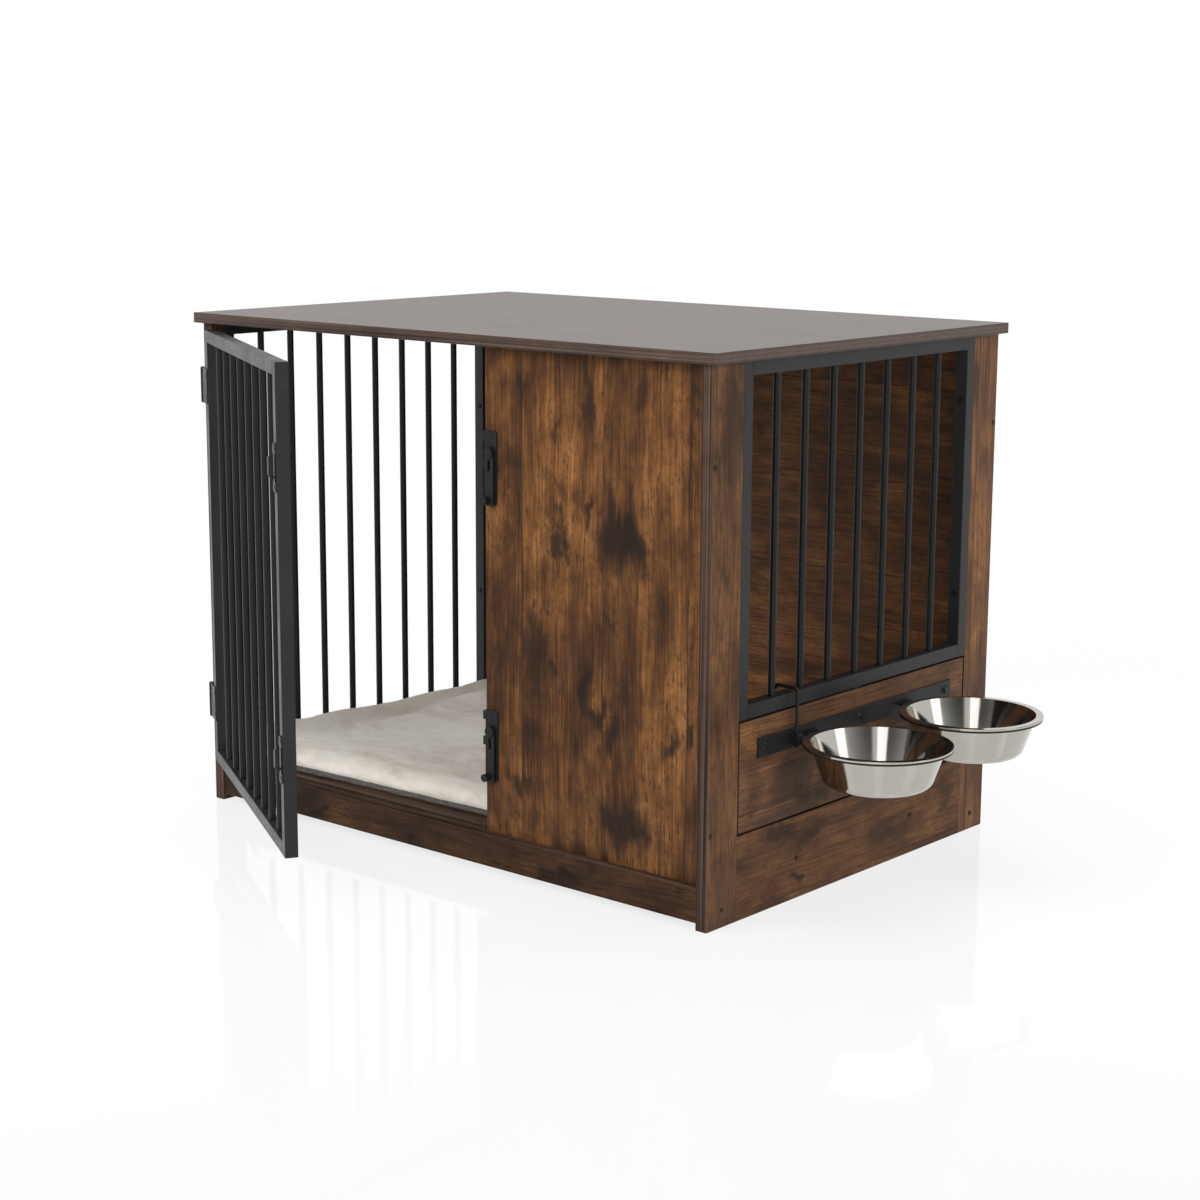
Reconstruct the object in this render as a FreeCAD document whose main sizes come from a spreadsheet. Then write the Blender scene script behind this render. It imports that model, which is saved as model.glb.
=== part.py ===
import FreeCAD, Part
import math
import os
from types import SimpleNamespace

import Sketcher
from FreeCAD import Placement, Rotation, Vector

# Wooden pet crate with barred side walls, a barred door, a swivelling feeder and a soft mat.
# The carcass frame has its corner at the front left foot: X to the right, Y to the rear, Z up.

# Driving sizes in millimetres and degrees, and counts of bars
SIZES = {
    # Carcass
    "carcass_width": 960,
    "carcass_depth": 662,
    "carcass_height": 730,
    "top_thick": 15,
    "top_overhang": 10,
    "post_thick": 18,
    "post_width": 62,
    "hinge_post_width": 24,
    "panel_thick": 15,
    "rail_height": 46,
    "rail_lift": 9,
    "rail_inset": 2,
    "side_rail_height": 115,
    "front_panel_width": 384,
    "floor_thick": 15,
    "floor_top": 64,
    "floor_gap": 1,
    "cleat_size": 18,
    "block_size": 20,
    "block_width": 25,
    "block_height": 24,
    "board_round": 0.7,
    # Screw caps on the right side
    "cap_radius": 3.4,
    "cap_thick": 0.8,
    "cap_edge_inset": 6,
    "cap_high_drop": 128,
    "cap_low": 128,
    "cap_foot_inset": 32,
    "cap_foot_height": 24,
    "cap_floor_inset": 194,
    # Barred side walls
    "grille_tube": 19,
    "tube_wall": 1.5,
    "tube_round": 1.2,
    "bar_radius": 5,
    "left_bar_count": 8,
    "right_bar_count": 7,
    "right_grille_low": 268,
    "grille_screw_radius": 4,
    "grille_screw_height": 2,
    "left_screw_low": 244,
    "left_screw_drop": 171,
    "right_screw_low": 361,
    "right_screw_drop": 90,
    # Feeder
    "feeder_gap": 3,
    "pivot_radius": 4,
    "pivot_depth": 12,
    "pivot_collar_radius": 8,
    "running_gap": 0.3,
    "feeder_bar_length": 459,
    "feeder_bar_height": 27,
    "feeder_bar_thick": 3,
    "feeder_bar_low": 212.5,
    "feeder_bolt_spacing": 215,
    "feeder_bolt_radius": 6,
    "feeder_bolt_crown_radius": 4.5,
    "feeder_bolt_height": 3.5,
    "ring_inner_radius": 90.5,
    "ring_outer_radius": 98,
    "ring_thick": 2.5,
    "ring_neck_width": 30,
    # Bowls
    "bowl_reach": 110,
    "bowl_spacing": 226,
    "bowl_rim_height": 229,
    "bowl_rim_radius": 98.5,
    "bowl_mouth_radius": 89.5,
    "bowl_base_radius": 70,
    "bowl_depth": 57,
    "bowl_metal": 1,
    "bowl_lip": 2.4,
    "bowl_base_round": 16,
    "bowl_rim_round": 0.6,
    # Wire hook that locks the feeder to the grille
    "wire_radius": 2.5,
    "wire_bend": 5,
    "hook_standoff": 9,
    "hook_span": 36,
    "hook_tip_drop": 6,
    "hook_raise": 1,
    "hook_leg_length": 80,
    "guide_width": 10,
    "guide_height": 16,
    "guide_depth": 12,
    # Door, measured from its hinge axis
    "door_open": 30.5,
    "axis_out": 3.1,
    "axis_ahead": 1.6,
    "door_edge_out": 23.6,
    "door_face_back": 0.5,
    "door_width": 531,
    "door_low": 66,
    "door_top_gap": 9,
    "door_tube": 18,
    "door_bar_count": 8,
    # Hinges
    "hinge_upper_drop": 66,
    "hinge_lower": 130.5,
    "hinge_height": 52,
    "barrel_radius": 3,
    "hinge_pin_radius": 1.6,
    "hinge_pin_gap": 0.1,
    "hinge_head_radius": 2.6,
    "hinge_head_height": 1,
    "knuckle_gap": 0.3,
    "leaf_thick": 1.6,
    "post_leaf_width": 20,
    "door_leaf_grip": 16,
    "screw_radius": 3,
    "screw_height": 0.6,
    "leaf_screw_inset": 10,
    # Latches on the front panel
    "latch_upper_drop": 145,
    "latch_lower": 198.5,
    "latch_pivot_inset": 11,
    "latch_plate_width": 22.5,
    "latch_plate_drop": 71,
    "latch_plate_rise": 29.5,
    "latch_plate_thick": 2,
    "latch_plate_round": 4,
    "latch_ear_out": 4.5,
    "latch_ear_height": 12,
    "latch_upper_ear": 15.5,
    "latch_lower_ear": -20.5,
    "latch_screw_rise": 22,
    "arm_gap": 1,
    "arm_thick": 2.5,
    "arm_width": 16,
    "arm_drop": 72,
    "arm_end_round": 3,
    "arm_slot_width": 4,
    "arm_slot_start": 9.5,
    "arm_slot_end": 25,
    "arm_slot_round": 1.6,
    "knob_radius": 5.5,
    "knob_proud": 8,
    "knob_aside": 4,
    "knob_drop": 65,
    "rivet_radius": 2.5,
    "rivet_head_radius": 7.5,
    "rivet_head_thick": 1.8,
    # Keepers on the door
    "keeper_half_height": 32,
    "keeper_tab_width": 16,
    "keeper_tab_height": 14,
    "keeper_strap_width": 8,
    "keeper_thick": 2,
    "keeper_round": 5,
    "tongue_width": 9,
    "tongue_thick": 1.5,
    "tongue_standoff": 9.8,
    "tongue_drop": 13,
    "tongue_rise": 14.5,
    "tongue_bend": 3,
    # Mat
    "mat_height": 34,
    "mat_side_gap": 5,
    "mat_front_gap": 5,
    "mat_front_skew": 32,
    "mat_front_waist": 1.5,
    "mat_rear_gap": 4,
    "mat_corner": 45,
    "mat_waist": 6,
}

# Shape of the mat from its underside up: how far it has risen and how far its edge is drawn in,
# both as shares of its height
MAT_HEIGHT_SHARES = (0, 0.1, 0.25, 0.45, 0.65, 0.8, 0.89, 0.95, 1)
MAT_INSET_SHARES = (0.4, 0.15, 0.03, 0, 0.06, 0.23, 0.5, 1.3, 4)

# Place of the wire hook along the right wall, as a share of the bars' spacing
HOOK_PITCH_SHARE = 1.52

# Slack in millimetres of the tests that pick edges
TOLERANCE = 0.001

doc = FreeCAD.newDocument("PetCrate")
sheet = doc.addObject("Spreadsheet::Sheet", "Sizes")
sub_parts = []


class Size:
    """A size that knows its value and the sheet formula that gives it."""

    def __init__(self, value, formula):
        self.value = value
        self.formula = formula

    def __add__(self, other):
        other = as_size(other)
        return Size(self.value + other.value, f"({self.formula} + {other.formula})")

    def __sub__(self, other):
        other = as_size(other)
        return Size(self.value - other.value, f"({self.formula} - {other.formula})")

    def __mul__(self, other):
        other = as_size(other)
        return Size(self.value * other.value, f"({self.formula} * {other.formula})")

    def __truediv__(self, other):
        other = as_size(other)
        return Size(self.value / other.value, f"({self.formula} / {other.formula})")

    def __neg__(self):
        return Size(-self.value, f"(-{self.formula})")


def as_size(value):
    """A plain number, such as a count, as a size."""
    return value if isinstance(value, Size) else Size(value, repr(value))


def fill_sheet():
    """Writes the driving sizes into the sheet and returns them by name."""
    named = {}
    for row, (alias, value) in enumerate(SIZES.items(), start=1):
        sheet.set(f"A{row}", alias)
        sheet.set(f"B{row}", str(value))
        sheet.setAlias(f"B{row}", alias)
        named[alias] = Size(value, f"Sizes.{alias}")
    doc.recompute()
    return SimpleNamespace(**named)


size = fill_sheet()
zero = as_size(0)
open_cosine = Size(math.cos(math.radians(size.door_open.value)), "cos(Sizes.door_open)")
open_sine = Size(math.sin(math.radians(size.door_open.value)), "sin(Sizes.door_open)")

def bar_pitch(y_low, bar_count):
    """Spacing of a side wall's bars between its two stiles."""
    return (rear_post_front - y_low - size.grille_tube * 2) / (bar_count + 1)


# Places that several pieces share, in the carcass frame
right_inner = size.carcass_width - size.post_thick
rear_post_front = size.carcass_depth - size.post_width
rail_top = size.rail_lift + size.rail_height
panel_front = size.rail_inset + size.panel_thick
panel_back = panel_front + size.panel_thick
rear_panel_front = size.carcass_depth - panel_back
front_panel_left = right_inner - size.front_panel_width
floor_under = size.floor_top - size.floor_thick
floor_left = size.grille_tube + size.floor_gap
cleat_left = size.rail_inset + size.panel_thick
right_grille_left = size.carcass_width - size.grille_tube
right_grille_top = size.right_grille_low + size.grille_tube
feeder_low = size.side_rail_height + size.feeder_gap
feeder_high = size.right_grille_low - size.feeder_gap
feeder_x = right_inner + size.post_thick / 2
feeder_y = size.carcass_depth / 2
bar_face = size.carcass_width + size.feeder_bar_thick
bowl_x = size.carcass_width + size.bowl_reach
hook_x = size.carcass_width + size.hook_standoff
right_bar_pitch = bar_pitch(size.post_width, size.right_bar_count)
hook_y = size.post_width + size.grille_tube + right_bar_pitch * HOOK_PITCH_SHARE
axis_x = -size.axis_out
axis_y = -size.axis_ahead
latch_x = front_panel_left + size.latch_pivot_inset
arm_back = panel_front - size.latch_plate_thick - size.arm_gap
door_free_stile = size.door_edge_out + size.door_width - size.door_tube
keeper_across = door_free_stile + size.door_tube / 2
door_high = size.carcass_height - size.door_top_gap
hinge_upper = size.carcass_height - size.hinge_upper_drop - size.hinge_height
latch_upper = size.carcass_height - size.latch_upper_drop
leaf_screw_rises = (size.leaf_screw_inset, size.hinge_height - size.leaf_screw_inset)

# Heights of the hinge and the latch at both levels
LEVELS = (
    ("upper", hinge_upper, latch_upper),
    ("lower", size.hinge_lower, size.latch_lower),
)


def door_point(across, back):
    """Where a point of the door, measured from the hinge axis, lies with the door standing open."""
    point_x = axis_x + across * open_cosine + back * open_sine
    point_y = axis_y - across * open_sine + back * open_cosine
    return point_x, point_y


# The origin is under the middle of the box around the crate with its door standing open
keeper_tip_y = door_point(keeper_across, size.door_face_back - size.tongue_standoff)[1]
origin_x = (bowl_x + size.bowl_rim_radius - size.top_overhang) / 2
origin_y = (size.carcass_depth + size.top_overhang + keeper_tip_y) / 2


def bind(piece, **formulas):
    """Ties properties of a piece to the sheet."""
    for name, value in formulas.items():
        piece.setExpression(name, as_size(value).formula)


def move(piece, x, y, z):
    """Ties a piece's place to the sheet."""
    for axis, value in zip("xyz", (x, y, z)):
        piece.setExpression(f"Placement.Base.{axis}", as_size(value).formula)


def on_carcass(piece, x=zero, y=zero, z=zero):
    """Seats a sub-part at a place given in the carcass frame."""
    move(piece, as_size(x) - origin_x, as_size(y) - origin_y, z)
    sub_parts.append(piece)


def on_door(piece, across=zero, back=zero, z=zero):
    """Seats a sub-part at a place given from the hinge axis, turned with the open door."""
    place_x, place_y = door_point(as_size(across), as_size(back))
    piece.Placement = Placement(Vector(), Rotation(Vector(0, 0, -1), size.door_open.value))
    move(piece, place_x - origin_x, place_y - origin_y, z)
    piece.setExpression("Placement.Rotation.Angle", "Sizes.door_open")
    sub_parts.append(piece)


def new_body(label):
    return doc.addObject("PartDesign::Body", label)


def body_box(body, name, lengths, corner=(zero, zero, zero), kind="Additive"):
    """A box added to a body, or cut from it, with its low corner at a place in the body."""
    made = body.newObject(f"PartDesign::{kind}Box", name)
    bind(made, Length=lengths[0], Width=lengths[1], Height=lengths[2])
    move(made, *corner)
    return made


def body_cylinder(body, name, radius, height, base=(zero, zero, zero), kind="Additive", turn=None):
    """A cylinder added to a body or cut from it, standing on a place in the body."""
    made = body.newObject(f"PartDesign::{kind}Cylinder", name)
    bind(made, Radius=radius, Height=height)
    if turn:
        made.Placement = Placement(Vector(), turn)
    move(made, *base)
    return made


# Turns a cylinder's axis from up to forwards, backwards, to the right or to the left
FORWARDS = Rotation(Vector(1, 0, 0), 90)
BACKWARDS = Rotation(Vector(1, 0, 0), -90)
RIGHTWARDS = Rotation(Vector(0, 1, 0), 90)
LEFTWARDS = Rotation(Vector(0, 1, 0), -90)


def round_edges(body, name, radius, wanted):
    """Rounds the edges of a body's last feature that the test picks."""
    doc.recompute()
    base = body.Tip
    numbered = enumerate(base.Shape.Edges, start=1)
    names = [f"Edge{number}" for number, edge in numbered if wanted(edge)]
    made = body.newObject("PartDesign::Fillet", name)
    made.Base = (base, names)
    bind(made, Radius=radius)


def runs_along(direction):
    """A test for straight edges that run along a direction."""
    def wanted(edge):
        if edge.Curve.TypeId != "Part::GeomLine":
            return False
        return edge.Curve.Direction.cross(direction).Length < TOLERANCE
    return wanted


def board(label, length_x, length_y, length_z):
    """A board with all its edges eased."""
    body = new_body(label)
    body_box(body, f"{label}_blank", (length_x, length_y, length_z))
    round_edges(body, f"{label}_edges", size.board_round, lambda edge: True)
    return body


def tube(label, lengths, direction):
    """A closed square tube with its long edges rounded."""
    body = new_body(label)
    body_box(body, f"{label}_outside", lengths)
    round_edges(body, f"{label}_corners", size.tube_round, runs_along(direction))
    hollow = [length - size.tube_wall * 2 for length in lengths]
    corner = (size.tube_wall, size.tube_wall, size.tube_wall)
    body_box(body, f"{label}_hollow", hollow, corner, kind="Subtractive")
    return body


def cylinder(name, radius, height, x, y, z, turn=None):
    """A plain cylinder, for groups of like pieces."""
    made = doc.addObject("Part::Cylinder", name)
    bind(made, Radius=radius, Height=height)
    if turn:
        made.Placement = Placement(Vector(), turn)
    move(made, x, y, z)
    return made


def box(name, lengths, x, y, z):
    """A plain box, for groups of like pieces."""
    made = doc.addObject("Part::Box", name)
    bind(made, Length=lengths[0], Width=lengths[1], Height=lengths[2])
    move(made, x, y, z)
    return made


def group(label, pieces):
    """Like pieces that share a node."""
    made = doc.addObject("Part::Compound", label)
    made.Links = pieces
    return made


def sketch_on(body, name, role):
    """An empty sketch on one of a body's own origin planes."""
    plane = next(feature for feature in body.Origin.OriginFeatures if feature.Role == role)
    made = body.newObject("Sketcher::SketchObject", name)
    made.AttachmentSupport = [(plane, "")]
    made.MapMode = "FlatFace"
    return made


def pin_point(sketch, geometry, position, across, up):
    """Ties a point of a sketch to the sheet."""
    for kind, value in (("DistanceX", across), ("DistanceY", up)):
        rule = Sketcher.Constraint(kind, -1, 1, geometry, position, value.value)
        number = sketch.addConstraint(rule)
        name = f"{kind}_{geometry}_{position}"
        sketch.renameConstraint(number, name)
        sketch.setExpression(f"Constraints.{name}", value.formula)


def draw_outline(sketch, points):
    """A closed outline of straight lines through points tied to the sheet."""
    points = [(as_size(across), as_size(up)) for across, up in points]
    first = sketch.GeometryCount
    corners = [Vector(across.value, up.value, 0) for across, up in points]
    for start, end in zip(corners, corners[1:] + corners[:1]):
        sketch.addGeometry(Part.LineSegment(start, end))
    for number, (across, up) in enumerate(points):
        following = first + (number + 1) % len(points)
        sketch.addConstraint(Sketcher.Constraint("Coincident", first + number, 2, following, 1))
        pin_point(sketch, first + number, 1, across, up)


def draw_circle(sketch, across, up, radius):
    """A circle tied to the sheet."""
    centre = Vector(across.value, up.value, 0)
    number = sketch.addGeometry(Part.Circle(centre, Vector(0, 0, 1), radius.value))
    pin_point(sketch, number, 3, across, up)
    rule = sketch.addConstraint(Sketcher.Constraint("Radius", number, radius.value))
    sketch.renameConstraint(rule, f"Radius_{number}")
    sketch.setExpression(f"Constraints.Radius_{number}", radius.formula)


def pad(body, name, sketch, length, both_ways=False):
    """Thickens a sketch, to its front or evenly to both sides."""
    made = body.newObject("PartDesign::Pad", name)
    made.Profile = sketch
    bind(made, Length=length)
    made.Midplane = both_ways
    return made


# Carcass

def make_top():
    width = size.carcass_width + size.top_overhang * 2
    depth = size.carcass_depth + size.top_overhang * 2
    top = board("top_panel", width, depth, size.top_thick)
    on_carcass(top, -size.top_overhang, -size.top_overhang, size.carcass_height)


def make_posts():
    posts = (
        ("post_front_left", size.hinge_post_width, zero, zero),
        ("post_front_right", size.post_width, right_inner, zero),
        ("post_rear_left", size.post_width, zero, rear_post_front),
        ("post_rear_right", size.post_width, right_inner, rear_post_front),
    )
    for label, width, x, y in posts:
        on_carcass(board(label, size.post_thick, width, size.carcass_height), x, y)


def make_rails():
    inner_width = right_inner - size.post_thick
    rear_y = size.carcass_depth - size.rail_inset - size.panel_thick
    for label, y in (("front_rail", size.rail_inset), ("rear_rail", rear_y)):
        rail = board(label, inner_width, size.panel_thick, size.rail_height)
        on_carcass(rail, size.post_thick, y, size.rail_lift)
    left_length = rear_post_front - size.hinge_post_width
    left = board("left_rail", size.panel_thick, left_length, size.rail_height)
    on_carcass(left, size.rail_inset, size.hinge_post_width, size.rail_lift)
    right_length = rear_post_front - size.post_width
    right = board("right_rail", size.post_thick, right_length, size.side_rail_height)
    on_carcass(right, right_inner, size.post_width)


def make_panels():
    height = size.carcass_height - size.rail_lift
    front = board("front_panel", size.front_panel_width, size.panel_thick, height)
    on_carcass(front, front_panel_left, panel_front, size.rail_lift)
    rear = board("rear_panel", right_inner - size.post_thick, size.panel_thick, height)
    on_carcass(rear, size.post_thick, rear_panel_front, size.rail_lift)


def make_floor_panel():
    """The floor, cut back where the front panel stands."""
    depth = rear_panel_front - panel_front
    floor = board("floor_panel", right_inner - floor_left, depth, size.floor_thick)
    notch = (size.front_panel_width + size.floor_gap, size.panel_thick, size.floor_thick)
    corner = (front_panel_left - size.floor_gap - floor_left, zero, zero)
    body_box(floor, "floor_notch", notch, corner, "Subtractive")
    on_carcass(floor, floor_left, panel_front, floor_under)


def make_cleats():
    cross_left = cleat_left + size.cleat_size
    cross_length = right_inner - size.cleat_size - cross_left
    low = floor_under - size.cleat_size
    left = (size.cleat_size, rear_post_front - panel_back, size.cleat_size)
    right = (size.cleat_size, rear_panel_front - panel_back, size.cleat_size)
    cross = (cross_length, size.cleat_size, size.cleat_size)
    rear_y = rear_panel_front - size.cleat_size
    pieces = [
        box("cleat_left", left, cleat_left, panel_back, low),
        box("cleat_right", right, right_inner - size.cleat_size, panel_back, low),
        box("cleat_front", cross, cross_left, panel_back, low),
        box("cleat_rear", cross, cross_left, rear_y, low),
    ]
    on_carcass(group("floor_cleats", pieces))


def make_top_blocks():
    lengths = (size.block_size, size.block_width, size.block_height)
    low = size.carcass_height - size.block_height
    right_x = right_inner - size.block_size
    rear_y = rear_panel_front - size.block_width
    places = (
        (front_panel_left + size.block_size, panel_back),
        (right_x, panel_back),
        (size.post_thick, rear_y),
        (right_x, rear_y),
    )
    pieces = [box(f"top_block_{number}", lengths, x, y, low) for number, (x, y) in enumerate(places)]
    on_carcass(group("top_blocks", pieces))


def make_hole_caps():
    places = (
        (size.cap_edge_inset, size.carcass_height - size.cap_high_drop),
        (size.cap_edge_inset, size.cap_low),
        (size.cap_foot_inset, size.cap_foot_height),
        (size.cap_floor_inset, size.floor_top - size.floor_thick / 2),
    )
    pieces = []
    for number, (inset, z) in enumerate(places):
        for end, y in (("front", inset), ("rear", size.carcass_depth - inset)):
            name = f"hole_cap_{end}_{number}"
            x = size.carcass_width
            pieces.append(cylinder(name, size.cap_radius, size.cap_thick, x, y, z, RIGHTWARDS))
    on_carcass(group("hole_caps", pieces))


# Barred side walls

def make_grille(side, x, y_low, z_low, bar_count):
    """A side wall of four square tubes with upright round bars between them."""
    square = size.grille_tube
    y_high = rear_post_front
    height = size.carcass_height - z_low
    upright = (square, square, height)
    level = (square, y_high - y_low - square * 2, square)
    for end, y in (("front", y_low), ("rear", y_high - square)):
        on_carcass(tube(f"{side}_grille_stile_{end}", upright, Vector(0, 0, 1)), x, y, z_low)
    for end, z in (("bottom", z_low), ("top", size.carcass_height - square)):
        on_carcass(tube(f"{side}_grille_rail_{end}", level, Vector(0, 1, 0)), x, y_low + square, z)
    pitch = bar_pitch(y_low, bar_count)
    length = height - square * 2
    bars = []
    for number in range(1, int(bar_count.value) + 1):
        y = y_low + square + pitch * number
        name = f"{side}_bar_{number}"
        bars.append(cylinder(name, size.bar_radius, length, x + square / 2, y, z_low + square))
    on_carcass(group(f"{side}_grille_bars", bars))


def make_grille_screws():
    front_of_rear = rear_post_front - size.grille_tube
    left_high = size.carcass_height - size.left_screw_drop
    right_high = size.carcass_height - size.right_screw_drop
    middle = size.grille_tube / 2
    sides = (
        ("left", middle, size.hinge_post_width, size.left_screw_low, left_high),
        ("right", right_grille_left + middle, size.post_width, size.right_screw_low, right_high),
    )
    pieces = []
    for side, x, post_edge, low, high in sides:
        back_of_front = post_edge + size.grille_tube
        for level, z in (("low", low), ("high", high)):
            for end, y, turn in (("front", back_of_front, BACKWARDS), ("rear", front_of_rear, FORWARDS)):
                name = f"{side}_screw_{end}_{level}"
                radius = size.grille_screw_radius
                pieces.append(cylinder(name, radius, size.grille_screw_height, x, y, z, turn))
    on_carcass(group("grille_screws", pieces))


# Feeder

def make_feeder_panel():
    length = rear_post_front - size.post_width - size.feeder_gap * 2
    height = feeder_high - feeder_low
    panel = board("feeder_panel", size.post_thick, length, height)
    middle = (size.post_thick / 2, length / 2)
    radius = size.pivot_radius + size.running_gap
    top_bore = (*middle, height - size.pivot_depth)
    body_cylinder(panel, "feeder_bore_bottom", radius, size.pivot_depth, (*middle, zero), "Subtractive")
    body_cylinder(panel, "feeder_bore_top", radius, size.pivot_depth, top_bore, "Subtractive")
    on_carcass(panel, right_inner, size.post_width + size.feeder_gap, feeder_low)


def make_feeder_pivots():
    collar = size.feeder_gap - size.running_gap
    length = size.feeder_gap + size.pivot_depth - size.running_gap
    bottom = new_body("feeder_pivot_bottom")
    body_cylinder(bottom, "pivot_bottom_pin", size.pivot_radius, length)
    body_cylinder(bottom, "pivot_bottom_collar", size.pivot_collar_radius, collar)
    on_carcass(bottom, feeder_x, feeder_y, size.side_rail_height)
    top = new_body("feeder_pivot_top")
    body_cylinder(top, "pivot_top_pin", size.pivot_radius, length, (zero, zero, -length))
    body_cylinder(top, "pivot_top_collar", size.pivot_collar_radius, collar, (zero, zero, -collar))
    on_carcass(top, feeder_x, feeder_y, size.right_grille_low)


def make_feeder_bar():
    bar = board("feeder_bar", size.feeder_bar_thick, size.feeder_bar_length, size.feeder_bar_height)
    on_carcass(bar, size.carcass_width, feeder_y - size.feeder_bar_length / 2, size.feeder_bar_low)
    bolts = []
    for number in (-1, 0, 1):
        bolt = doc.addObject("Part::Cone", f"feeder_bolt_{number + 1}")
        radii = {"Radius1": size.feeder_bolt_radius, "Radius2": size.feeder_bolt_crown_radius}
        bind(bolt, Height=size.feeder_bolt_height, **radii)
        bolt.Placement = Placement(Vector(), RIGHTWARDS)
        z = size.feeder_bar_low + size.feeder_bar_height / 2
        move(bolt, bar_face, feeder_y + size.feeder_bolt_spacing * number, z)
        bolts.append(bolt)
    on_carcass(group("feeder_bolts", bolts))


def make_bowl_ring(label, y):
    """A flat ring under the bowl's rim, with a neck to the feeder bar."""
    ring = new_body(label)
    neck_length = bowl_x - bar_face
    neck = (neck_length, size.ring_neck_width, size.ring_thick)
    body_box(ring, f"{label}_neck", neck, (-neck_length, -size.ring_neck_width / 2, zero))
    body_cylinder(ring, f"{label}_disc", size.ring_outer_radius, size.ring_thick)
    body_cylinder(ring, f"{label}_hole", size.ring_inner_radius, size.ring_thick, kind="Subtractive")
    z = size.bowl_rim_height - size.bowl_lip - size.running_gap - size.ring_thick
    on_carcass(ring, bowl_x, y, z)


def circles_at(radius, height):
    """A test for level circles of one radius at one height."""
    def wanted(edge):
        if edge.Curve.TypeId != "Part::GeomCircle":
            return False
        same_radius = abs(edge.Curve.Radius - radius.value) < TOLERANCE
        return same_radius and abs(edge.Curve.Center.z - height.value) < TOLERANCE
    return wanted


def make_bowl(label, y):
    """A spun metal bowl with a flat rim and a turned-down lip, measured down from its rim."""
    bowl = new_body(label)
    metal = size.bowl_metal
    inner_base = size.bowl_base_radius - metal
    profile = sketch_on(bowl, f"{label}_profile", "XZ_Plane")
    draw_outline(profile, [
        (zero, -size.bowl_depth),
        (size.bowl_base_radius, -size.bowl_depth),
        (size.bowl_mouth_radius, -metal),
        (size.bowl_rim_radius - metal, -metal),
        (size.bowl_rim_radius - metal, -size.bowl_lip),
        (size.bowl_rim_radius, -size.bowl_lip),
        (size.bowl_rim_radius, zero),
        (size.bowl_mouth_radius - metal, zero),
        (inner_base, metal - size.bowl_depth),
        (zero, metal - size.bowl_depth),
    ])
    spun = bowl.newObject("PartDesign::Revolution", f"{label}_spun")
    spun.Profile = profile
    spun.ReferenceAxis = (profile, ["V_Axis"])
    outside = circles_at(size.bowl_base_radius, -size.bowl_depth)
    round_edges(bowl, f"{label}_base", size.bowl_base_round, outside)
    inside = circles_at(inner_base, metal - size.bowl_depth)
    round_edges(bowl, f"{label}_well", size.bowl_base_round - metal, inside)
    rim = circles_at(size.bowl_rim_radius, zero)
    round_edges(bowl, f"{label}_rim", size.bowl_rim_round, rim)
    on_carcass(bowl, bowl_x, y, size.bowl_rim_height)


def make_hook_guide():
    guide = new_body("hook_guide")
    depth = size.guide_depth
    corner = (bar_face - hook_x, -size.guide_width / 2, zero)
    body_box(guide, "guide_block", (depth, size.guide_width, size.guide_height), corner)
    radius = size.wire_radius + size.running_gap
    body_cylinder(guide, "guide_bore", radius, size.guide_height, kind="Subtractive")
    z = size.feeder_bar_low + (size.feeder_bar_height - size.guide_height) / 2
    on_carcass(guide, hook_x, hook_y, z)


def make_wire_hook():
    """A round wire bent over the grille's lower rail, measured from the foot of its outer leg."""
    bend = size.wire_bend.value
    leg = size.hook_leg_length.value
    span = size.hook_span.value
    corner = bend - bend * math.sqrt(2) / 2
    path = Part.Wire([
        Part.makeLine(Vector(0, 0, 0), Vector(0, 0, leg - bend)),
        Part.Arc(Vector(0, 0, leg - bend), Vector(-corner, 0, leg - corner), Vector(-bend, 0, leg)).toShape(),
        Part.makeLine(Vector(-bend, 0, leg), Vector(bend - span, 0, leg)),
        Part.Arc(
            Vector(bend - span, 0, leg),
            Vector(corner - span, 0, leg - corner),
            Vector(-span, 0, leg - bend),
        ).toShape(),
        Part.makeLine(Vector(-span, 0, leg - bend), Vector(-span, 0, leg - size.hook_tip_drop.value)),
    ])
    section = Part.Wire(Part.makeCircle(size.wire_radius.value, Vector(0, 0, 0), Vector(0, 0, 1)))
    hook = doc.addObject("Part::Feature", "wire_hook")
    hook.Shape = path.makePipeShell([section], True, True)
    tip_low = right_grille_top + size.hook_raise
    on_carcass(hook, hook_x, hook_y, tip_low + size.hook_tip_drop - size.hook_leg_length)


# Door, in a frame on its hinge axis

def make_door_frame():
    square = size.door_tube
    height = door_high - size.door_low
    upright = (square, square, height)
    inner = size.door_width - square * 2
    for end, across in (("hinge", size.door_edge_out), ("free", door_free_stile)):
        stile = tube(f"door_stile_{end}", upright, Vector(0, 0, 1))
        on_door(stile, across, size.door_face_back, size.door_low)
    for end, z in (("bottom", size.door_low), ("top", door_high - square)):
        rail = tube(f"door_rail_{end}", (inner, square, square), Vector(1, 0, 0))
        on_door(rail, size.door_edge_out + square, size.door_face_back, z)
    pitch = inner / (size.door_bar_count + 1)
    bars = []
    for number in range(1, int(size.door_bar_count.value) + 1):
        name = f"door_bar_{number}"
        bars.append(cylinder(name, size.bar_radius, height - square * 2, pitch * number, zero, zero))
    back = size.door_face_back + square / 2
    on_door(group("door_bars", bars), size.door_edge_out + square, back, size.door_low + square)


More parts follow.
